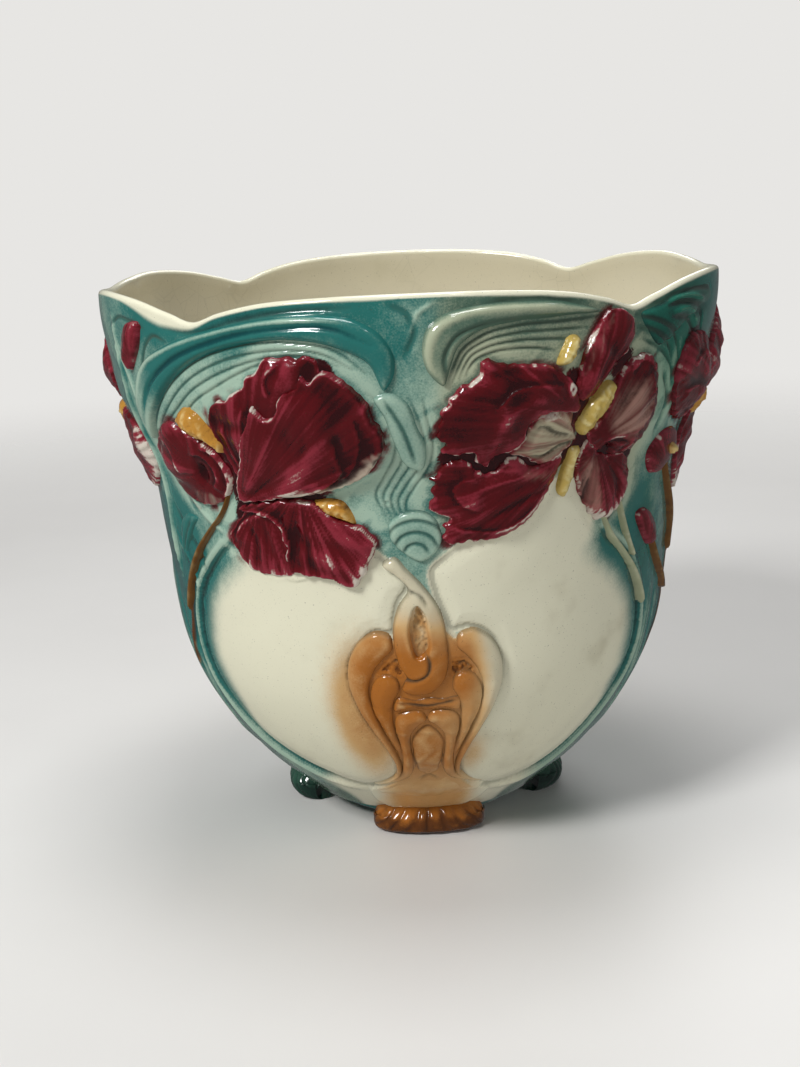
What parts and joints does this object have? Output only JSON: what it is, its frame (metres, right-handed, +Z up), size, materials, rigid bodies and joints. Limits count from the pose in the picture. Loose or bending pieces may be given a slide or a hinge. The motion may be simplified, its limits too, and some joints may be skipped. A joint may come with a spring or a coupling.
{
  "type": "cachepot",
  "caption": "Glazed earthenware cachepot with a wavy lobed rim, raised irises and teal scroll bands above cream panels, an orange-brown strapwork cartouche and small feet",
  "frame": {"origin": "on the table under the middle of the pot", "axes": "+Z up, the front with the cartouche faces -Y, +X to the right seen from the front"},
  "size_m": [0.2968, 0.293, 0.2621],
  "materials": {
    "cream_glaze": "gloss",
    "teal_glaze": "gloss",
    "burgundy_glaze": "gloss",
    "ochre_glaze": "gloss",
    "brown_glaze": "gloss",
    "amber_glaze": "gloss",
    "green_glaze": "gloss",
    "pale_green_glaze": "gloss"
  },
  "bodies": {
    "root": {"pot_body": "cream_glaze", "foot_ring": "teal_glaze", "front_foot": "amber_glaze", "back_foot": "amber_glaze", "left_foot": "green_glaze", "right_foot": "green_glaze", "left_iris_beards": "ochre_glaze", "right_iris_beards": "ochre_glaze", "side_spray_beards": "ochre_glaze", "left_iris_stems": "brown_glaze", "side_spray_stems": "brown_glaze", "right_iris_stems": "pale_green_glaze", "fan_leaves": "teal_glaze", "drop_leaves": "teal_glaze", "reed_leaves": "teal_glaze", "left_scroll_bands": "teal_glaze", "right_scroll_bands": "teal_glaze", "corner_swirls": "teal_glaze", "corner_ribs": "pale_green_glaze", "left_iris_back_petals": "burgundy_glaze", "left_iris_front_petals": "burgundy_glaze", "left_iris_side_petals": "burgundy_glaze", "left_iris_fold_petals": "burgundy_glaze", "left_iris_falls": "burgundy_glaze", "right_iris_upper_petals": "burgundy_glaze", "right_iris_lower_petals": "burgundy_glaze", "right_iris_bud_petals": "burgundy_glaze", "right_iris_side_petals": "burgundy_glaze", "right_iris_curl_petals": "burgundy_glaze", "right_iris_heart_petals": "burgundy_glaze", "side_spray_left_petals": "burgundy_glaze", "side_spray_top_petals": "burgundy_glaze", "side_spray_right_petals": "burgundy_glaze", "side_spray_falls": "burgundy_glaze", "side_spray_buds": "burgundy_glaze", "cartouche_left_hooks": "amber_glaze", "cartouche_right_hooks": "amber_glaze", "cartouche_inner_hooks": "amber_glaze", "cartouche_loops": "amber_glaze", "cartouche_crossbars": "amber_glaze", "cartouche_shoulders": "amber_glaze", "cartouche_tongues": "amber_glaze", "cartouche_pedestals": "amber_glaze"}
  },
  "joints": []
}
